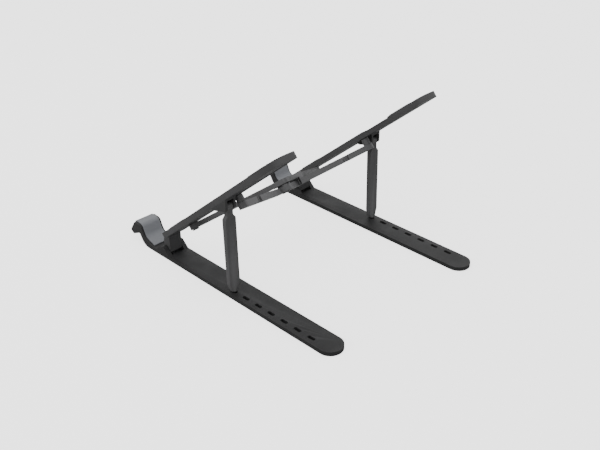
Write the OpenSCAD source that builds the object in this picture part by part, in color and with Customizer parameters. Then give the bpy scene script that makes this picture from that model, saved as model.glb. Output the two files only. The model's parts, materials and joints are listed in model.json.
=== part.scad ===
// Folding laptop stand: two hooked base rails, two hinged support arms on props,
// and a pair of crossed bars that hold the two sides apart.

/* [Overall] */
// Distance between the centre lines of the two base rails, stand open
rail_spacing = 163.8; // [140:0.2:210]
// Length of a base rail from the hook's bend to its rounded rear end
rail_length = 227.2; // [215:0.2:290]
// Angle of the support arms above the rails
arm_tilt = 39.65; // [32:0.05:44]

/* [Base rails] */
// Width of a base rail
rail_w = 22; // [20:0.5:28]
// Height of the rail's top face above the table
rail_t = 4; // [3.4:0.1:6]
// How far the anti-slip feet stand below the rail
foot_proud = 0.3; // [0.2:0.1:0.8]
// Thickness of the anti-slip feet
foot_t = 0.9; // [0.6:0.1:1.5]
// Length of an anti-slip foot
foot_len = 30; // [16:1:40]
// Width of an anti-slip foot
foot_w = 10; // [6:0.5:12]
// Number of height slots in a rail
slot_count = 7; // [3:1:7]
// Distance between neighbouring height slots
slot_pitch = 15; // [12:0.5:16]
// Length of a height slot along the rail
slot_len = 7.4; // [6:0.2:9]
// Width of a height slot across the rail
slot_w = 3.2; // [2.6:0.1:4.5]

/* [Hook] */
// Lean of the hook's riser above the rail, in degrees
hook_lean = 58; // [50:1:68]
// Radius of the hook's outside where it bends up from the rail
hook_bend_r = 11; // [8:0.5:14]
// Height of the hook's top above the table
hook_top = 19.8; // [18:0.2:26]
// How far the lip reaches forward of the bend
hook_reach = 26; // [25:0.2:32]
// Height of the lip's underside at its tip above the table
lip_tip_z = 6.4; // [5:0.1:8]
// Radius of the rounded edges of the lip
lip_r = 2; // [1:0.1:2.4]
// Thickness of the silicone pad in the hook
hook_pad_t = 1; // [0.8:0.1:1.6]
// Bare edge on each side of the hook pad
hook_pad_inset = 1.8; // [1:0.1:4]

/* [Tilt hinge] */
// Distance from the hook's bend to the hinge axis
hinge_setback = 21.5; // [18:0.5:28]
// Height of the hinge axis above the rail's top face
hinge_rise = 3.2; // [3.2:0.1:5]
// Radius of the hinge pin
hinge_pin_r = 1.5; // [1.2:0.1:1.8]
// Depth of solid plastic that hides each pin's outer end
pin_cover = 1.2; // [0.8:0.1:1.8]
// Width of the arm's lug between the two ears
lug_w = 12.8; // [9:0.2:14]
// Outer radius of an ear around the pin
ear_r = 3.6; // [3.2:0.1:4.5]

/* [Support arms] */
// Width of a support arm
arm_w = 21.4; // [19:0.2:24]
// Thickness of a support arm
arm_t = 5.3; // [4.4:0.1:6.5]
// Height of the arm's underside above the hinge axis, square to the arm
arm_lift = 7.8; // [7.8:0.1:10]
// Distance from the hinge axis to the arm's full-width front end
arm_front = 12.3; // [11:0.1:15]
// Distance from the hinge axis to the arm's rear end
arm_rear = 206.4; // [198:0.2:270]
// Corner radius of the arm's rear end
arm_end_r = 8; // [4:0.5:10]
// Thickness of an arm pad
arm_pad_t = 1.2; // [0.9:0.1:1.6]
// How far an arm pad stands above the arm
arm_pad_proud = 0.6; // [0.4:0.1:0.8]
// Bare edge on each side of an arm pad
arm_pad_inset = 1.6; // [1:0.2:4]
// Length of the front arm pad
front_pad_len = 30; // [20:1:36]
// Length of the rear arm pad
rear_pad_len = 28; // [20:1:40]
// Distance from the rear pad's rear edge to the arm's rear end
rear_pad_margin = 18.4; // [12:0.2:24]
// Depth of the finger recess in the arm's top, inner side
recess_depth = 0.8; // [0.4:0.1:0.9]
// Length of the finger recess
recess_len = 36; // [20:1:40]

/* [Props] */
// Distance from the hinge axis to the prop pivot, along the arm
prop_pivot_s = 116.9; // [110:0.1:124]
// Distance of the prop pivot below the arm's underside
prop_pivot_drop = 4.65; // [4.4:0.05:6]
// Lean of the prop from the vertical, foot to the rear
prop_lean = 1.3; // [0.5:0.1:3]
// Width of the prop leg
prop_w = 11; // [9.6:0.1:11]
// Depth of the prop leg, front to rear
prop_d = 4.4; // [3.6:0.1:5]
// Width of the prop's knuckle between the bracket's ears
knuckle_w = 6; // [4:0.2:6]
// Radius of the prop pin
prop_pin_r = 1.2; // [1:0.1:1.4]
// Radius of the knuckle around the pin
knuckle_r = 2.6; // [2.4:0.1:2.8]
// Width of the prop's rounded lower end where it meets its tongue
prop_tip_w = 6.4; // [4:0.2:8]

/* [Crossed bars] */
// Distance from the hinge axis to the bars' front pivots, along the arm
front_pivot_s = 39.1; // [36:0.1:44]
// Distance from the hinge axis to the bars' rear posts, along the arm
rear_post_s = 119.7; // [110:0.1:126]
// Distance of the pivots from the arm's centre line, towards the middle
pivot_inset = 6.2; // [6:0.1:6.6]
// Width of a bar
bar_w = 8.6; // [7:0.2:8.8]
// Thickness of a bar on the upper level
bar_t = 4.4; // [3.6:0.1:4.6]
// Thickness of a bar on the lower level
low_bar_t = 5.1; // [4.4:0.1:6]
// Gap between the upper and the lower level of the bars
bar_level_gap = 1.7; // [1:0.1:2.4]
// Radius of the round boss where the bars cross
boss_r = 8.6; // [7:0.1:9]
// Radius of the rivet where the bars cross
centre_rivet_r = 2; // [1.6:0.1:2.4]
// Forward travel of a front slider as the stand closes
slider_travel = 19; // [12:0.5:19]
// Distance between the rails' centre lines beyond the rail width, stand closed
closed_gap = 0.6; // [0.6:0.1:2]

/* [Sliders and posts] */
// Radius of a slider pin or post shaft
shaft_r = 1.6; // [1.4:0.1:1.8]
// Radius of the head that runs in the arm's track
head_r = 2.9; // [2.4:0.1:2.9]
// Thickness of that head
head_t = 1.3; // [1:0.1:1.4]
// Outer radius of the sleeve round a rear post
sleeve_r = 3.5; // [3:0.1:4]
// Thickness of the cover plate under the track
track_plate_t = 1.2; // [1:0.1:1.3]

/* [Fits] */
// Gap all round between parts that slide or swing past each other
move_gap = 0.3; // [0.3:0.05:0.4]
// Radial clearance of a pin that turns in its hole
pin_gap = 0.05; // [0.02:0.01:0.1]
// Gap between the arm's underside and the bars
bar_gap = 0.4; // [0.35:0.05:0.6]

/* [Hidden] */
$fn = 64;
eps = 0.01;
far = 400;
arc_steps = 8;

// Colours
graphite = [0.25, 0.25, 0.26];
silicone = [0.45, 0.46, 0.48];
bar_grey = [0.38, 0.38, 0.39];
steel = [0.3, 0.3, 0.31];
black_rubber = [0.12, 0.12, 0.12];

// Hook: corners of its side view, as Y and Z from the bend's start, each with its radius
strip_t = rail_t - foot_proud;
riser_dir = [-cos(hook_lean), sin(hook_lean)];
bend_corner = [-hook_bend_r * tan(hook_lean / 2), foot_proud];
crook = bend_corner + 12.6 * riser_dir;
hollow_foot = [8, rail_t];
hook_corners = [
  [11, foot_proud, 0],
  [bend_corner[0], bend_corner[1], hook_bend_r],
  [crook[0], crook[1], 1.2],
  [-hook_reach + 3.6, lip_tip_z, lip_r],
  [-hook_reach - 0.7, lip_tip_z + 2.8, lip_r],
  [-hook_reach + 6.6, hook_top + 0.3, 3],
  [crook[0] + 2.6, hook_top - 0.2, 4],
  [crook[0] + 7.4, rail_t + 4.6, 8],
  [hollow_foot[0], hollow_foot[1], 9],
  [11, rail_t, 0]
];
pad_first = 5;

// Rail: the origin is midway between the lip's front and the rail's rear end
bend_y = (hook_reach - rail_length) / 2;
rail_rear = bend_y + rail_length;
hinge_y = bend_y + hinge_setback;
hinge_z = rail_t + hinge_rise;
ear_in = lug_w / 2 + 0.4;
pocket_depth = 1.4;

// Arm: heights above the hinge axis, square to the arm
arm_top = arm_lift + arm_t;
lug_rear = 5.3;
lug_r = hinge_rise - move_gap;
lug_foot = [3, -4.7];
rear_pad_end = arm_rear - rear_pad_margin;
recess_end = rear_pad_end - rear_pad_len + 1;
front_pad_start = arm_front + 10;

// Prop
pivot_u = arm_lift - prop_pivot_drop;
pivot_y = hinge_y + prop_pivot_s * cos(arm_tilt) - pivot_u * sin(arm_tilt);
pivot_z = hinge_z + prop_pivot_s * sin(arm_tilt) + pivot_u * cos(arm_tilt);
foot_gap = 0.2;
prop_len = (pivot_z - rail_t - foot_gap) / cos(prop_lean);
prop_foot_y = pivot_y + prop_len * sin(prop_lean);
prop_x = (arm_w - prop_w) / 2;
shoulder_s = 7.6;
shoulder_e = 10.8;
tongue_h = 1.2;
tip_h = 8;
bracket_ear_t = (prop_w - knuckle_w) / 2 - move_gap;
bracket_base_t = 1.3;
screw_r = 1.4;

// Crossed bars
pivot_x = rail_spacing / 2 - pivot_inset;
closed_x = (rail_w + closed_gap) / 2 - pivot_inset;
half_span = (rear_post_s - front_pivot_s) / 2;
bar_half = sqrt(pivot_x * pivot_x + half_span * half_span);
open_angle = asin(pivot_x / bar_half);
closed_angle = asin(closed_x / bar_half);
cross_s = (rear_post_s + front_pivot_s) / 2;
bar_top = arm_lift - bar_gap;
upper_z = bar_top - bar_t;
lower_top = upper_z - bar_level_gap;
lower_z = lower_top - low_bar_t;
strip_angle = 90 - open_angle + atan2(closed_x, bar_half);
strips_cross = closed_x * (cos(open_angle) + sin(open_angle) / tan(strip_angle));
step_at = strips_cross * sin(open_angle) + bar_w / 2 / tan(strip_angle) + 2 * move_gap;
step_len = 4;
bar_end_r = bar_w / 2;
stop_at = 0.7 * bar_half;
stop_y = closed_x * (1 - stop_at / bar_half);
stop_rivet_r = 1.2;
notch_len = 8;
notch_depth = 1.8;

// Tracks in the arm
track_x = -pivot_inset;
track_w = 2 * (head_r + move_gap);
track_slot_w = 2 * (shaft_r + move_gap);
track_plate_w = track_w + 1;
track_h = head_t + 2 * move_gap;
head_z = arm_lift + track_plate_t + move_gap;
front_track = [front_pivot_s - slider_travel, front_pivot_s];
rear_track_end = front_pivot_s - slider_travel + 2 * bar_half * cos(closed_angle) + 1;
rear_track = [rear_post_s, rear_track_end];

// ---- helpers ----

// Puts a right-hand part on its side: +1 right, -1 left
module side_of(s) {
  if (s > 0) translate([rail_spacing / 2, 0, 0]) children();
  else mirror([1, 0, 0]) translate([rail_spacing / 2, 0, 0]) children();
}

// Arm frame: origin on the hinge axis, Y along the arm, Z square to it
module on_arm() {
  translate([0, hinge_y, hinge_z]) rotate([arm_tilt, 0, 0]) children();
}

// Extrudes a side view, drawn as Y and Z, across X from x0 to x1
module across(x0, x1) {
  translate([x0, 0, 0]) rotate([90, 0, 90]) linear_extrude(x1 - x0) children();
}

module round_slot(p, q, w, h) {
  for (y = [p, q]) translate([0, y, 0]) cylinder(d = w, h = h);
  translate([-w / 2, p, 0]) cube([w, q - p, h]);
}

module round_box(w, l, r, h) {
  linear_extrude(h) union() {
    translate([-w / 2 + r, 0]) square([w - 2 * r, l]);
    translate([-w / 2, r]) square([w, l - 2 * r]);
    for (x = [-1, 1], y = [r, l - r]) translate([x * (w / 2 - r), y]) circle(r);
  }
}

function spot(c) = [c[0], c[1]];
function unit(v) = v / norm(v);
function heading(v) = atan2(v[1], v[0]);
function wrap(a) = a > 180 ? a - 360 : a < -180 ? a + 360 : a;

// Points of the rounding of corner b, whose neighbours are a and c; grow moves it off the outline
function rounded(a, b, c, grow = 0) = b[2] == 0 ? [spot(b)] :
  let (u = unit(spot(a) - spot(b)), v = unit(spot(c) - spot(b)), half = acos(u * v) / 2,
       centre = spot(b) + unit(u + v) * b[2] / sin(half),
       start = heading(spot(b) + u * b[2] / tan(half) - centre),
       sweep = wrap(heading(spot(b) + v * b[2] / tan(half) - centre) - start),
       r = b[2] - sign(sweep) * grow)
  [for (i = [0 : arc_steps]) centre + r * [cos(start + sweep * i / arc_steps),
                                          sin(start + sweep * i / arc_steps)]];

// ---- base ----

// The hook's side view, from the rail to the lip and back
module hook_side() {
  last = len(hook_corners) - 1;
  polygon([for (i = [0 : last]) each rounded(hook_corners[max(i - 1, 0)], hook_corners[i],
                                             hook_corners[min(i + 1, last)])]);
}

function hook_round(k, grow) = rounded(hook_corners[k - 1], hook_corners[k], hook_corners[k + 1], grow);

// One face of the hook's pad: from the lip's top over the crest and down into the hollow
function pad_face(grow) = concat([for (k = [pad_first : pad_first + 2]) each hook_round(k, grow)],
                                 [hook_round(pad_first + 3, grow)[0]]);

module pad_side() {
  inner = pad_face(0);
  outer = pad_face(hook_pad_t);
  polygon(concat(inner, [for (i = [len(outer) - 1 : -1 : 0]) outer[i]]));
}

module ear_side() {
  circle(ear_r);
  polygon([[8.3, -hinge_rise], [8.3, -hinge_rise - 0.5], [-10, -hinge_rise - 0.5], [-10, -hinge_rise],
           ear_r * [cos(128), sin(128)], ear_r * [cos(50), sin(50)]]);
}

module base_rail() color(graphite) difference() {
  union() {
    translate([-rail_w / 2, bend_y, foot_proud]) cube([rail_w, rail_length - rail_w / 2, strip_t]);
    translate([0, rail_rear - rail_w / 2, foot_proud]) cylinder(d = rail_w, h = strip_t);
    translate([0, bend_y, 0]) across(-rail_w / 2, rail_w / 2) hook_side();
    for (x = [-rail_w / 2, ear_in]) translate([0, hinge_y, hinge_z])
      across(x, x + rail_w / 2 - ear_in) ear_side();
  }
  pin_along(-rail_w / 2 - eps, rail_w / 2 - pin_cover, hinge_pin_r);
  translate([-ear_in, hinge_y - 2, rail_t - pocket_depth]) cube([2 * ear_in, 10, far]);
  for (i = [0 : slot_count - 1])
    translate([prop_x, prop_foot_y + i * slot_pitch - (slot_len - slot_w) / 2, -eps])
      round_slot(0, slot_len - slot_w, slot_w, far);
  for (y = foot_places) foot_strip(y);
}

foot_places = [bend_y + 26, rail_rear - foot_len - 6];

module foot_strip(y) color(black_rubber)
  round_slot(y + foot_w / 2, y + foot_len - foot_w / 2, foot_w, foot_t);

module hook_pad() color(silicone) translate([0, bend_y, 0])
  across(-rail_w / 2 + hook_pad_inset, rail_w / 2 - hook_pad_inset) pad_side();

// A round bar on the hinge axis from x0 to x1
module pin_along(x0, x1, r) translate([x0, hinge_y, hinge_z]) rotate([0, 90, 0])
  cylinder(r = r, h = x1 - x0);

module hinge_pin() color(steel) pin_along(-rail_w / 2 + 0.3, rail_w / 2 - pin_cover, hinge_pin_r);

// ---- arm ----

module arm_outline() {
  r = arm_end_r;
  translate([-arm_w / 2, arm_front]) square([arm_w, arm_rear - arm_front - r]);
  translate([-arm_w / 2 + r, arm_front]) square([arm_w - 2 * r, arm_rear - arm_front]);
  for (x = [-1, 1]) translate([x * (arm_w / 2 - r), arm_rear - r]) circle(r);
}

module lug_side() {
  circle(lug_r);
  polygon([[-2.2, -1.8], lug_foot, [(lug_rear + arm_lift * sin(arm_tilt)) / cos(arm_tilt), arm_lift],
           [arm_front + 2, arm_lift + 1], [arm_front + 2, arm_top], [arm_front - 3, arm_top],
           [2, arm_lift], [-2.3, 1.7]]);
}

// Two pockets for the pads, the tracks and their cover plate, and the finger recess
module support_arm() color(graphite) on_arm() difference() {
  union() {
    translate([0, 0, arm_lift]) linear_extrude(arm_t) arm_outline();
    across(-lug_w / 2, lug_w / 2) lug_side();
  }
  rotate([0, 90, 0]) cylinder(r = hinge_pin_r + pin_gap, h = far, center = true);
  translate([0, 0, arm_top - arm_pad_t + arm_pad_proud]) pad_outlines();
  translate([-arm_w / 2 - eps, recess_end - recess_len, arm_top - recess_depth])
    cube([arm_w / 2, recess_len, far]);
  translate([track_x, 0, arm_lift - eps]) plate_blank(track_plate_t + eps);
  for (t = [front_track, rear_track])
    translate([track_x, 0, arm_lift]) round_slot(t[0], t[1], track_w, track_plate_t + track_h);
}

module plate_blank(h) round_slot(front_track[0], rear_track[1], track_plate_w, h);

module track_plate() color(graphite) on_arm() difference() {
  translate([track_x, 0, arm_lift]) plate_blank(track_plate_t);
  for (t = [front_track, rear_track])
    translate([track_x, 0, 0]) round_slot(t[0], t[1], track_slot_w, far);
}

module pad_blank(y, l) translate([0, y, 0]) round_box(arm_w - 2 * arm_pad_inset, l, 4, arm_pad_t);

module pad_outlines() {
  pad_blank(front_pad_start, front_pad_len);
  pad_blank(rear_pad_end - rear_pad_len, rear_pad_len);
}

module arm_pad(y, l) color(silicone) on_arm()
  translate([0, 0, arm_top - arm_pad_t + arm_pad_proud]) pad_blank(y, l);

// ---- prop ----

// Bracket ear seen from the side: a gusset in front of the pin and a rear edge that is
// upright while the arm is up
module bracket_side() {
  ear = knuckle_r + 0.6;
  rear = (prop_pivot_s * cos(arm_tilt) + ear + (arm_lift - pivot_u) * sin(arm_tilt)) / cos(arm_tilt);
  translate([prop_pivot_s, pivot_u]) circle(ear);
  polygon([[prop_pivot_s - 15, arm_lift], [prop_pivot_s - 13, arm_lift - 2.3],
           [prop_pivot_s, pivot_u] + ear * [cos(245), sin(245)],
           [prop_pivot_s, pivot_u] + ear * [cos(-arm_tilt), sin(-arm_tilt)], [rear, arm_lift]]);
}

module prop_bracket() color(graphite) on_arm() translate([prop_x, 0, 0]) difference() {
  across(-prop_w / 2, prop_w / 2) bracket_side();
  across(-knuckle_w / 2 - move_gap, knuckle_w / 2 + move_gap)
    polygon([[prop_pivot_s - 6, -far], [prop_pivot_s - 6, arm_lift - bracket_base_t],
             [prop_pivot_s + far, arm_lift - bracket_base_t], [prop_pivot_s + far, -far]]);
  prop_axle(-prop_w / 2 - eps, prop_w / 2 - pin_cover, prop_pin_r);
  translate([-prop_x, 0, 0]) at_screws() translate([0, 0, 0.8 - far]) cylinder(r = screw_r, h = far);
}

// A round bar on the prop's axis from x0 to x1, in the arm's frame
module prop_axle(x0, x1, r) translate([x0, prop_pivot_s, pivot_u]) rotate([0, 90, 0])
  cylinder(r = r, h = x1 - x0);

// The two screws' places in the arm's frame
module at_screws() for (x = [-2.4, 2.4])
  translate([prop_x + x, prop_pivot_s - 9.5, arm_lift - bracket_base_t - 0.8]) children();

module bracket_screws() color(steel) on_arm() at_screws() difference() {
  cylinder(r = screw_r, h = 0.8);
  translate([0, 0, -eps]) cylinder(r = 0.6, h = 0.4, $fn = 6);
}

module prop_pin() color(steel) on_arm() translate([prop_x, 0, 0])
  prop_axle(-prop_w / 2 + 0.3, prop_w / 2 - pin_cover, prop_pin_r);

// Leg seen from the front, hanging from the pin: knuckle, shoulders, shaft and tapered tip
module leg_front() {
  tip = prop_len - tongue_h;
  square([knuckle_w, 2 * shoulder_s], center = true);
  polygon([[-knuckle_w / 2, -shoulder_s], [-prop_w / 2, -shoulder_e], [-prop_w / 2, -tip + tip_h],
           [-prop_tip_w / 2, -tip], [prop_tip_w / 2, -tip], [prop_w / 2, -tip + tip_h],
           [prop_w / 2, -shoulder_e], [knuckle_w / 2, -shoulder_s]]);
  translate([-slot_w / 2 + move_gap, -prop_len]) square([slot_w - 2 * move_gap, tongue_h + eps]);
}

module prop_leg() color(graphite) translate([prop_x, pivot_y, pivot_z]) rotate([prop_lean, 0, 0])
  difference() {
    union() {
      rotate([0, 90, 0]) cylinder(r = knuckle_r, h = knuckle_w, center = true);
      intersection() {
        translate([0, prop_d / 2, 0]) rotate([90, 0, 0]) linear_extrude(prop_d) leg_front();
        translate([-far, -far, -2 * far]) cube([2 * far, 2 * far, 2 * far]);
      }
    }
    rotate([0, 90, 0]) cylinder(r = prop_pin_r + pin_gap, h = far, center = true);
  }

// ---- crossed bars ----

// Bar frame: origin on the centre rivet, +X towards the bar's rear end
module bar_a_frame() on_arm() translate([0, cross_s, 0]) rotate([0, 0, 90 + open_angle]) children();
module bar_b_frame() on_arm() translate([0, cross_s, 0]) rotate([0, 0, 90 - open_angle]) children();

// A straight strip from an end pivot to beside the rivet, so that the closed bars lie side by side
module half_strip(end_x, side_y, cut_x) {
  run = abs(end_x);
  turn = atan2(side_y, -end_x);
  difference() {
    union() {
      translate([end_x, 0]) circle(bar_end_r);
      translate([end_x, 0]) rotate(turn) translate([0, -bar_w / 2]) square([run + boss_r, bar_w]);
    }
    translate([cut_x, -far / 2]) square([far, far]);
  }
}

module cross_bar_a() color(bar_grey) bar_a_frame() difference() {
  union() {
    translate([0, 0, upper_z]) linear_extrude(bar_t) {
      half_strip(-bar_half, -closed_x, 0);
      circle(boss_r);
      step_bridge(1);
    }
    translate([0, 0, lower_z]) linear_extrude(low_bar_t) mirror([1, 0, 0])
      half_strip(-bar_half, closed_x, -step_at);
    translate([step_at, 0, lower_z]) linear_extrude(bar_top - lower_z) step_foot(1);
  }
  bar_holes(shaft_r + pin_gap, centre_rivet_r + pin_gap);
  stop_notch(-1);
}

// The flat between the boss and the step, on the rear strip's side
module step_bridge(s) {
  y = s * closed_x * (1 - step_at / bar_half);
  translate([0, y - bar_w / 2]) square([step_at + step_len, bar_w]);
}

// The upright step that joins the two levels
module step_foot(s) {
  y = s * closed_x * (1 - step_at / bar_half);
  translate([0, y - bar_w / 2]) square([step_len, bar_w]);
}

module bar_holes(front_r, middle_r) {
  translate([-bar_half, 0, -far / 2]) cylinder(r = front_r, h = far);
  translate([bar_half, 0, -far / 2]) cylinder(r = shaft_r, h = far);
  translate([0, 0, -far / 2]) cylinder(r = middle_r, h = far);
}

module cross_bar_b() color(bar_grey) bar_b_frame() difference() {
  union() {
    translate([0, 0, lower_z]) linear_extrude(low_bar_t) {
      mirror([1, 0, 0]) half_strip(-bar_half, -closed_x, 0);
      circle(boss_r);
      mirror([1, 0, 0]) step_bridge(1);
    }
    translate([0, 0, upper_z]) linear_extrude(bar_t) half_strip(-bar_half, closed_x, -step_at);
    translate([-step_at, 0, lower_z]) linear_extrude(bar_top - lower_z)
      mirror([1, 0, 0]) step_foot(1);
  }
  bar_holes(shaft_r + pin_gap, centre_rivet_r);
  stop_notch(1);
}

// A shallow notch in the side of a bar's rear half, with room for its stop rivet
module stop_notch(side) {
  translate([stop_at, side * (bar_w / 2 - abs(stop_y)), lower_z - eps]) {
    translate([-notch_len / 2, -notch_depth, 0]) cube([notch_len, 2 * notch_depth, far]);
    translate([0, -side * notch_depth, 0]) cylinder(r = stop_rivet_r, h = far);
  }
}

module rear_post() translate([bar_half, 0, 0]) {
  translate([0, 0, lower_z]) cylinder(r = shaft_r, h = head_z + head_t - lower_z);
  translate([0, 0, head_z]) cylinder(r = head_r, h = head_t);
}

module post_sleeve() translate([bar_half, 0, lower_top]) difference() {
  cylinder(r = sleeve_r, h = bar_top - lower_top);
  translate([0, 0, -eps]) cylinder(r = shaft_r, h = far);
}

module front_slider() color(steel) on_arm() translate([track_x, front_pivot_s, 0]) {
  translate([0, 0, upper_z - move_gap - 0.9]) cylinder(r = shaft_r, h = head_z + head_t - upper_z + move_gap + 0.9);
  translate([0, 0, head_z]) cylinder(r = head_r, h = head_t);
}

module slider_cap() color(steel) on_arm() translate([track_x, front_pivot_s, upper_z - move_gap - 0.9])
  difference() {
    cylinder(r = shaft_r + 1.4, h = 0.9);
    translate([0, 0, -eps]) cylinder(r = shaft_r, h = far);
  }

module centre_rivet() color(steel) bar_b_frame() {
  translate([0, 0, lower_z]) cylinder(r = centre_rivet_r, h = bar_top - lower_z);
  translate([0, 0, lower_z - 0.8]) cylinder(r = centre_rivet_r + 1.6, h = 0.8);
}

module centre_washer() color(steel) bar_b_frame() translate([0, 0, lower_top]) difference() {
  cylinder(r = 5.5, h = bar_level_gap - move_gap);
  translate([0, 0, -eps]) cylinder(r = centre_rivet_r, h = far);
}

module stop_rivet(side) translate([stop_at, side * (bar_w / 2 - abs(stop_y) - notch_depth), lower_z])
  cylinder(r = stop_rivet_r, h = low_bar_t);

side_of(1) base_rail();  // base_rail_right
side_of(-1) base_rail();  // base_rail_left
side_of(1) hook_pad();  // hook_pad_right
side_of(-1) hook_pad();  // hook_pad_left
side_of(1) foot_strip(foot_places[0]);  // front_foot_right
side_of(-1) foot_strip(foot_places[0]);  // front_foot_left
side_of(1) foot_strip(foot_places[1]);  // rear_foot_right
side_of(-1) foot_strip(foot_places[1]);  // rear_foot_left
side_of(1) hinge_pin();  // hinge_pin_right
side_of(-1) hinge_pin();  // hinge_pin_left
side_of(1) support_arm();  // support_arm_right
side_of(-1) support_arm();  // support_arm_left
side_of(1) track_plate();  // track_plate_right
side_of(-1) track_plate();  // track_plate_left
side_of(1) arm_pad(front_pad_start, front_pad_len);  // front_pad_right
side_of(-1) arm_pad(front_pad_start, front_pad_len);  // front_pad_left
side_of(1) arm_pad(rear_pad_end - rear_pad_len, rear_pad_len);  // rear_pad_right
side_of(-1) arm_pad(rear_pad_end - rear_pad_len, rear_pad_len);  // rear_pad_left
side_of(1) prop_bracket();  // prop_bracket_right
side_of(-1) prop_bracket();  // prop_bracket_left
side_of(1) bracket_screws();  // bracket_screws_right
side_of(-1) bracket_screws();  // bracket_screws_left
side_of(1) prop_pin();  // prop_pin_right
side_of(-1) prop_pin();  // prop_pin_left
side_of(1) prop_leg();  // prop_leg_right
side_of(-1) prop_leg();  // prop_leg_left
side_of(1) front_slider();  // front_slider_right
side_of(-1) front_slider();  // front_slider_left
side_of(1) slider_cap();  // slider_cap_right
side_of(-1) slider_cap();  // slider_cap_left
cross_bar_a();
cross_bar_b();
color(steel) bar_a_frame() rear_post();  // rear_post_a
color(steel) bar_b_frame() rear_post();  // rear_post_b
color(bar_grey) bar_a_frame() post_sleeve();  // post_sleeve_a
color(bar_grey) bar_b_frame() post_sleeve();  // post_sleeve_b
centre_rivet();
centre_washer();
color(bar_grey) bar_a_frame() stop_rivet(-1);  // stop_rivet_a
color(bar_grey) bar_b_frame() stop_rivet(1);  // stop_rivet_b
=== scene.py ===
# %% [markdown]
# # A folding laptop stand
# The stand is dark moulded plastic: two long rails lie on the table, two arms lean up from them
# on props, and a pair of crossed bars joins the sides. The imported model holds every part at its
# real size, so this lesson never moves a part. It gives each one the soft edges and the skin
# that a mould and years in a bag leave behind.

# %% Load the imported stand
import json
import math

import bmesh
import bpy
from mathutils import Matrix, Vector


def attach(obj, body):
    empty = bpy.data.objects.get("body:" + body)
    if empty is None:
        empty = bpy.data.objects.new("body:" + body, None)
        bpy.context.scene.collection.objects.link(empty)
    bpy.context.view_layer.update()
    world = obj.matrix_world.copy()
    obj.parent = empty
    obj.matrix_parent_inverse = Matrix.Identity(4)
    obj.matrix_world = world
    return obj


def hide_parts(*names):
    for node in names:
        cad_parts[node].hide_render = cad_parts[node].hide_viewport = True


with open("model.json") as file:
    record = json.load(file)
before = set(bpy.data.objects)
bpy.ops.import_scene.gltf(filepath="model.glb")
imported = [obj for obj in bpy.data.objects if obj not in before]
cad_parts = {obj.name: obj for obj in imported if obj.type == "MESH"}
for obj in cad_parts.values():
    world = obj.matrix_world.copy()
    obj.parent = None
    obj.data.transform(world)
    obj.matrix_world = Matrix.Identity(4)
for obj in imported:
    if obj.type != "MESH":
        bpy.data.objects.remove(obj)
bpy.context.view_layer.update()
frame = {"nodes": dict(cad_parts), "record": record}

MM = 0.001
bodies = frame["record"]["behaviour"]["bodies"]
slot_of = {part["node"]: part["material_slot"] for part in frame["record"]["subparts"]}
body_of = {node: body for body, nodes in bodies.items() for node in nodes}

# %% [markdown]
# ## The camera
# A product camera stands behind the right rail and looks down at the stand by thirty degrees.
# It could be aimed with a Track To constraint, but a rotation written from the direction it
# looks in keeps the roll under control, and nothing can pull it off later.

# %% Camera
CAMERA_AT = Vector((0.45797, 0.46180, 0.40632))
CAMERA_AZIMUTH = math.radians(135.148)
CAMERA_ELEVATION = math.radians(30.247)
CAMERA_ROLL = math.radians(-0.304)
CAMERA_LENS = 50.72
SENSOR_WIDTH = 36
NEAREST_SEEN = 0.01


def make_camera():
    camera = bpy.data.objects.new("camera", bpy.data.cameras.new("camera"))
    bpy.context.scene.collection.objects.link(camera)
    camera.data.sensor_width = SENSOR_WIDTH
    camera.data.lens = CAMERA_LENS
    camera.data.clip_start = NEAREST_SEEN
    camera.location = CAMERA_AT
    camera.rotation_mode = "XYZ"
    flat = math.cos(CAMERA_ELEVATION)
    back = Vector((math.sin(CAMERA_AZIMUTH) * flat, -math.cos(CAMERA_AZIMUTH) * flat,
                   math.sin(CAMERA_ELEVATION)))
    aim = back.to_track_quat("Z", "Y").to_matrix().to_4x4()
    roll = Matrix.Rotation(CAMERA_ROLL, 4, "Z")
    camera.rotation_euler = (aim @ roll).to_euler("XYZ")
    bpy.context.scene.camera = camera


make_camera()
print("camera stands", round(CAMERA_AT.length, 2), "m from the middle of the stand, on the table")

# %% [markdown]
# ## Floor and light
# A catalogue picture is lit by large soft panels, and the floor fades into the background.
# One plane and an even white world give that. The plane glows, so that it stays pale under the
# stand. A glowing floor would also light the stand from below and wash out its shape, so light
# linking keeps that glow off every part. Two big area lights add the little direction that
# shows which way each face turns.

# %% Floor, world and lamps
FLOOR_SIZE = 40.0
FLOOR_GLOW = 2.2
FLOOR_SHADE = 0.30
FLOOR_ROUGHNESS = 0.9
WHITE = (1, 1, 1, 1)
WORLD_STRENGTH = 1.7
PANELS = {
    "overhead_panel": {"place": (0.3, 0.2, 1.8), "size": 1.6, "watts": 14},
    "side_panel": {"place": (1.5, -0.4, 0.7), "size": 1.2, "watts": 8},
}


def make_floor():
    """A wide glowing plane, whose glow is linked to itself alone."""
    mesh = bpy.data.meshes.new("floor")
    half = FLOOR_SIZE / 2
    corners = [(-half, -half, 0), (half, -half, 0), (half, half, 0), (-half, half, 0)]
    mesh.from_pydata(corners, [], [(0, 1, 2, 3)])
    floor = bpy.data.objects.new("floor", mesh)
    bpy.context.scene.collection.objects.link(floor)
    skin = bpy.data.materials.new("pale_floor")
    skin.use_nodes = True
    shader = skin.node_tree.nodes["Principled BSDF"]
    shader.inputs["Base Color"].default_value = (FLOOR_SHADE, FLOOR_SHADE, FLOOR_SHADE, 1)
    shader.inputs["Roughness"].default_value = FLOOR_ROUGHNESS
    shader.inputs["Emission Color"].default_value = WHITE
    shader.inputs["Emission Strength"].default_value = FLOOR_GLOW
    mesh.materials.append(skin)
    lit_by_floor = bpy.data.collections.new("lit_by_floor")
    lit_by_floor.objects.link(floor)
    floor.light_linking.receiver_collection = lit_by_floor


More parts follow.
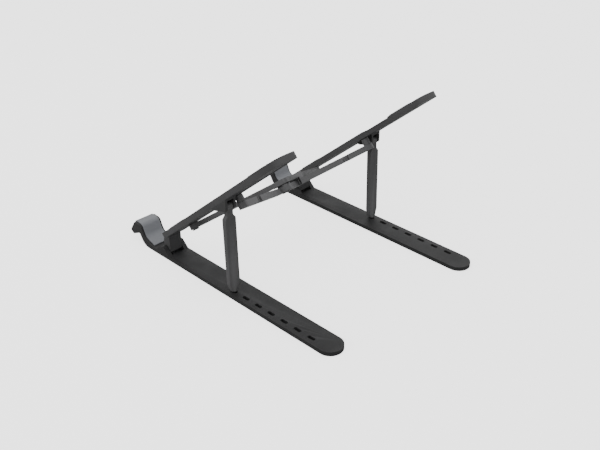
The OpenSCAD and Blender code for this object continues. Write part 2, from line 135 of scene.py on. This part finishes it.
def make_lamp(name, place, size, watts):
    """A square panel of light that faces the stand."""
    data = bpy.data.lights.new(name, "AREA")
    data.size = size
    data.energy = watts
    lamp = bpy.data.objects.new(name, data)
    bpy.context.scene.collection.objects.link(lamp)
    lamp.location = place
    lamp.rotation_euler = Vector(place).to_track_quat("Z", "Y").to_euler()


def make_white_room():
    world = bpy.data.worlds.new("white_room")
    world.use_nodes = True
    background = world.node_tree.nodes["Background"]
    background.inputs["Color"].default_value = WHITE
    background.inputs["Strength"].default_value = WORLD_STRENGTH
    bpy.context.scene.world = world


make_floor()
for panel, setting in PANELS.items():
    make_lamp(panel, **setting)
make_white_room()
print(len(PANELS), "panels and a white room light the stand")

# %% [markdown]
# ## Helpers for skins
# Every skin here is built from the same few steps: a noise, a change of its range, a blend of two
# colours and a bump. They could be wired by hand each time, but a short function for each step
# keeps a skin readable as a list of what the real surface has.

# %% Node helpers
UNIT = (0, 1)


def new_skin(name):
    """An empty material: its node tree, its shader and a shorthand that adds a node."""
    skin = bpy.data.materials.new(name)
    skin.use_nodes = True
    tree = skin.node_tree

    def add(kind, **settings):
        node = tree.nodes.new(kind)
        for key, value in settings.items():
            setattr(node, key, value)
        return node

    return skin, tree, tree.nodes["Principled BSDF"], add


def noise(tree, add, scale, detail=3.0):
    """A noise that sticks to the piece and is measured in its own metres."""
    place = add("ShaderNodeTexCoord")
    grain = add("ShaderNodeTexNoise")
    grain.inputs["Scale"].default_value = scale
    grain.inputs["Detail"].default_value = detail
    tree.links.new(place.outputs["Object"], grain.inputs["Vector"])
    return grain.outputs["Fac"]


def remap(tree, add, source, band, to_band):
    """The source, with the values of one band spread over another."""
    change = add("ShaderNodeMapRange")
    for socket, value in zip(("From Min", "From Max", "To Min", "To Max"), (*band, *to_band)):
        change.inputs[socket].default_value = value
    tree.links.new(source, change.inputs["Value"])
    return change.outputs["Result"]


def two_colours(tree, add, amount, first, second):
    blend = add("ShaderNodeMix", data_type="RGBA")
    blend.inputs["A"].default_value = (*first, 1)
    blend.inputs["B"].default_value = (*second, 1)
    tree.links.new(amount, blend.inputs["Factor"])
    return blend.outputs["Result"]


def over(tree, add, amount, below, colour):
    """One colour laid over what is below it, by an amount."""
    blend = add("ShaderNodeMix", data_type="RGBA")
    blend.inputs["B"].default_value = (*colour, 1)
    tree.links.new(amount, blend.inputs["Factor"])
    tree.links.new(below, blend.inputs["A"])
    return blend.outputs["Result"]


def shaded(colour, share):
    return tuple(min(1.0, part * share) for part in colour)


def emboss(tree, add, shader, height, strength, depth):
    """A bump of the surface by a height, at most depth metres deep."""
    bump = add("ShaderNodeBump")
    bump.inputs["Strength"].default_value = strength
    bump.inputs["Distance"].default_value = depth
    tree.links.new(height, bump.inputs["Height"])
    tree.links.new(bump.outputs["Normal"], shader.inputs["Normal"])


print("helpers ready; twice the shade of 0.1 grey is", shaded((0.1, 0.1, 0.1), 2)[0])

# %% [markdown]
# ## A skin for moulded plastic
# The rails, arms, props and bars come out of steel moulds with an etched grain: a fine, even
# pebble that keeps fingerprints away. The grain could be a picture of leather, but a fine noise
# makes it at any distance. Handling polishes the high edges, so the colour is lighter where the
# surface bends sharply. Wide patches of noise shift the colour, and smaller ones the roughness.

# %% The plastic skin
PATCH_SCALE = 28.0
PATCH_BAND = (0.35, 0.65)
PATCH_DARK = 0.86
PATCH_LIGHT = 1.12
WORN_BEND = (0.53, 0.62)
WORN_AMOUNT = (0, 0.55)
WORN_LIGHT = 2.1
SMUDGE_SCALE = 60.0
SMUDGE_DETAIL = 5.0
SMUDGE_BAND = (0.3, 0.7)
PEBBLE_DETAIL = 2.0
PEBBLE_STRENGTH = 0.25
PEBBLE_DEPTH = 0.08 * MM
PLASTIC_SHINE = 0.22


def moulded_plastic(name, colour, grain=2600.0, rough=(0.50, 0.66)):
    skin, tree, shader, add = new_skin(name)
    patches = remap(tree, add, noise(tree, add, PATCH_SCALE), PATCH_BAND, UNIT)
    base = two_colours(tree, add, patches, shaded(colour, PATCH_DARK), shaded(colour, PATCH_LIGHT))
    bend = add("ShaderNodeNewGeometry").outputs["Pointiness"]
    worn = remap(tree, add, bend, WORN_BEND, WORN_AMOUNT)
    base = over(tree, add, worn, base, shaded(colour, WORN_LIGHT))
    tree.links.new(base, shader.inputs["Base Color"])
    smudges = noise(tree, add, SMUDGE_SCALE, SMUDGE_DETAIL)
    tree.links.new(remap(tree, add, smudges, SMUDGE_BAND, rough), shader.inputs["Roughness"])
    emboss(tree, add, shader, noise(tree, add, grain, PEBBLE_DETAIL), PEBBLE_STRENGTH, PEBBLE_DEPTH)
    shader.inputs["Specular IOR Level"].default_value = PLASTIC_SHINE
    return skin


# The rails, arms, brackets and props are likely one plastic, so their different greys are painted
# light and shade. The arm, bracket and prop greys are raised, and the rail grey is lowered, to stand
# in for how light falls on each part. The bar grey is partly its own lighter plastic and partly
# painted light.
SKINS = {
    "rail": moulded_plastic("rail_plastic_painted_shade", (0.0108, 0.0108, 0.0112)),
    "arm": moulded_plastic("arm_plastic_painted_light", (0.0300, 0.0300, 0.0308)),
    "bracket": moulded_plastic("bracket_plastic_painted_light", (0.0220, 0.0220, 0.0226)),
    "prop": moulded_plastic("prop_plastic_painted_light", (0.0430, 0.0430, 0.0440)),
    "bar": moulded_plastic("bar_plastic_partly_painted_light", (0.0420, 0.0420, 0.0433), grain=2000.0, rough=(0.38, 0.54)),
}
print(len(SKINS), "plastic skins")

# %% [markdown]
# ## Silicone and rubber
# The hook pads and arm pads are soft silicone. It has hardly any grain of its own, but dust
# clings to it, and it scatters light in a soft bloom, which a little sheen gives. The feet are
# black rubber, which is the same skin with less dust.

# %% Soft skins
CLOUD_SCALE = 45.0
CLOUD_DETAIL = 6.0
CLOUD_BAND = (0.3, 0.7)
CLOUD_DARK = 0.9
CLOUD_LIGHT = 1.08
SOFT_ROUGH = (0.62, 0.78)
DUST_SCALE = 900.0
DUST_DETAIL = 2.0
DUST_BAND = (0.66, 0.74)
DUST_LIGHT = 1.8
SOFT_GRAIN_SCALE = 1500.0
SOFT_GRAIN_STRENGTH = 0.15
SOFT_GRAIN_DEPTH = 0.05 * MM
BLOOM_WEIGHT = 0.15
BLOOM_ROUGHNESS = 0.5


def silicone(name, colour, dust=0.35):
    skin, tree, shader, add = new_skin(name)
    cloud = noise(tree, add, CLOUD_SCALE, CLOUD_DETAIL)
    base = two_colours(tree, add, remap(tree, add, cloud, CLOUD_BAND, UNIT),
                       shaded(colour, CLOUD_DARK), shaded(colour, CLOUD_LIGHT))
    specks = remap(tree, add, noise(tree, add, DUST_SCALE, DUST_DETAIL), DUST_BAND, (0, dust))
    base = over(tree, add, specks, base, shaded(colour, DUST_LIGHT))
    tree.links.new(base, shader.inputs["Base Color"])
    tree.links.new(remap(tree, add, cloud, CLOUD_BAND, SOFT_ROUGH), shader.inputs["Roughness"])
    grain = noise(tree, add, SOFT_GRAIN_SCALE)
    emboss(tree, add, shader, grain, SOFT_GRAIN_STRENGTH, SOFT_GRAIN_DEPTH)
    shader.inputs["Sheen Weight"].default_value = BLOOM_WEIGHT
    shader.inputs["Sheen Roughness"].default_value = BLOOM_ROUGHNESS
    return skin


SKINS["silicone"] = silicone("hook_silicone", (0.084, 0.088, 0.097))
SKINS["arm_pad"] = silicone("arm_silicone", (0.024, 0.024, 0.026))
SKINS["foot_rubber"] = silicone("foot_rubber", (0.020, 0.020, 0.020), dust=0.2)
print(len(SKINS), "skins, with silicone and rubber")

# %% [markdown]
# ## Blackened steel
# The pins and rivets are turned steel, blackened against rust, with fine rings from the tool. A
# ring texture would have to be centred on each pin. A noise squeezed along one axis gives lines
# that do for such small ends.

# %% The steel skin
TOOL_LINES = (4000.0, 300.0, 300.0)
TOOL_LINE_DETAIL = 2.0
LINE_BAND = (0.3, 0.7)
LINE_DARK = 0.8
STEEL_ROUGH = (0.25, 0.45)
LINE_STRENGTH = 0.2
LINE_DEPTH = 0.02 * MM


def turned_steel(name, colour):
    skin, tree, shader, add = new_skin(name)
    place = add("ShaderNodeTexCoord")
    stretch = add("ShaderNodeMapping")
    stretch.inputs["Scale"].default_value = TOOL_LINES
    lines = add("ShaderNodeTexNoise")
    lines.inputs["Scale"].default_value = 1.0
    lines.inputs["Detail"].default_value = TOOL_LINE_DETAIL
    tree.links.new(place.outputs["Object"], stretch.inputs["Vector"])
    tree.links.new(stretch.outputs["Vector"], lines.inputs["Vector"])
    height = lines.outputs["Fac"]
    base = two_colours(tree, add, height, shaded(colour, LINE_DARK), colour)
    tree.links.new(base, shader.inputs["Base Color"])
    tree.links.new(remap(tree, add, height, LINE_BAND, STEEL_ROUGH), shader.inputs["Roughness"])
    emboss(tree, add, shader, height, LINE_STRENGTH, LINE_DEPTH)
    shader.inputs["Metallic"].default_value = 1.0
    return skin


SKINS["steel"] = turned_steel("turned_steel", (0.10, 0.10, 0.103))
print(len(SKINS), "skins for", len(set(slot_of.values())), "slots")

# %% [markdown]
# ## Soft edges
# No moulded part has a knife edge: the mould maker rounds every corner by a few tenths of a
# millimetre, and that thin round is what catches the light. Each part is copied from the packed
# model, its triangles are merged back into clean faces, and a Bevel modifier rounds what is
# still sharp. A bevel cuts outer corners and fills inner ones, so the part keeps its size. The
# shade is smooth across the round and flat on the faces, which a Weighted Normal modifier keeps.

# %% Copy a part, clean it and round its edges
FLAT_ANGLE = math.radians(1.0)
SHARP_ANGLE = math.radians(24)
WELD_DISTANCE = 0.002 * MM
ROUND_STEPS = 3


def clean_copy(node, name):
    """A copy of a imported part, with its flat faces whole again."""
    mesh = frame["nodes"][node].data.copy()
    mesh.materials.clear()
    mesh.name = name
    work = bmesh.new()
    work.from_mesh(mesh)
    bmesh.ops.remove_doubles(work, verts=work.verts, dist=WELD_DISTANCE)
    bmesh.ops.dissolve_limit(work, angle_limit=FLAT_ANGLE, verts=work.verts, edges=work.edges)
    work.to_mesh(mesh)
    work.free()
    mesh.update()
    return mesh


def finish_piece(piece, node):
    """The piece gets its skin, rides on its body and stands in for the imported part."""
    piece.data.materials.append(SKINS[slot_of[node]])
    for face in piece.data.polygons:
        face.use_smooth = True
    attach(piece, body_of[node])
    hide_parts(node)


def rounded_part(node, radius):
    """The part with its sharp edges rounded by radius, in millimetres."""
    name = node + "_moulded"
    piece = bpy.data.objects.new(name, clean_copy(node, name))
    bpy.context.scene.collection.objects.link(piece)
    bevel = piece.modifiers.new("round", "BEVEL")
    bevel.width = radius * MM
    bevel.segments = ROUND_STEPS
    bevel.limit_method = "ANGLE"
    bevel.angle_limit = SHARP_ANGLE
    bevel.use_clamp_overlap = True
    bevel.harden_normals = True
    shade = piece.modifiers.new("shade", "WEIGHTED_NORMAL")
    shade.keep_sharp = True
    finish_piece(piece, node)


trial = clean_copy("centre_washer", "trial")
print("a cleaned centre washer has", len(trial.polygons), "faces; nothing is in the scene yet")
bpy.data.meshes.remove(trial)

# %% [markdown]
# ## Which part gets which round
# The long rails and arms have the most generous edge, over half a millimetre. Bars, props and
# silicone pads have a little less, and turned pins only a broken corner. One table says so, by
# the part's plain name, and both sides of the stand share it.

# %% Round every part
EDGE_ROUND = {
    "base_rail": 0.8, "support_arm": 0.6, "prop_leg": 0.45, "prop_bracket": 0.3,
    "cross_bar": 0.4, "track_plate": 0.2, "hook_pad": 0.4, "front_foot": 0.25, "rear_foot": 0.25,
    "front_pad": 0.4, "rear_pad": 0.4, "post_sleeve": 0.3, "hinge_pin": 0.2, "prop_pin": 0.15,
    "front_slider": 0.15, "slider_cap": 0.2, "rear_post": 0.15, "centre_rivet": 0.3,
    "centre_washer": 0.2, "stop_rivet": 0.2, "bracket_screws": 0.2,
}
for node in sorted(frame["nodes"]):
    family = node.rsplit("_", 1)[0] if node not in EDGE_ROUND else node
    rounded_part(node, EDGE_ROUND[family])
print(len(frame["nodes"]), "parts rounded")
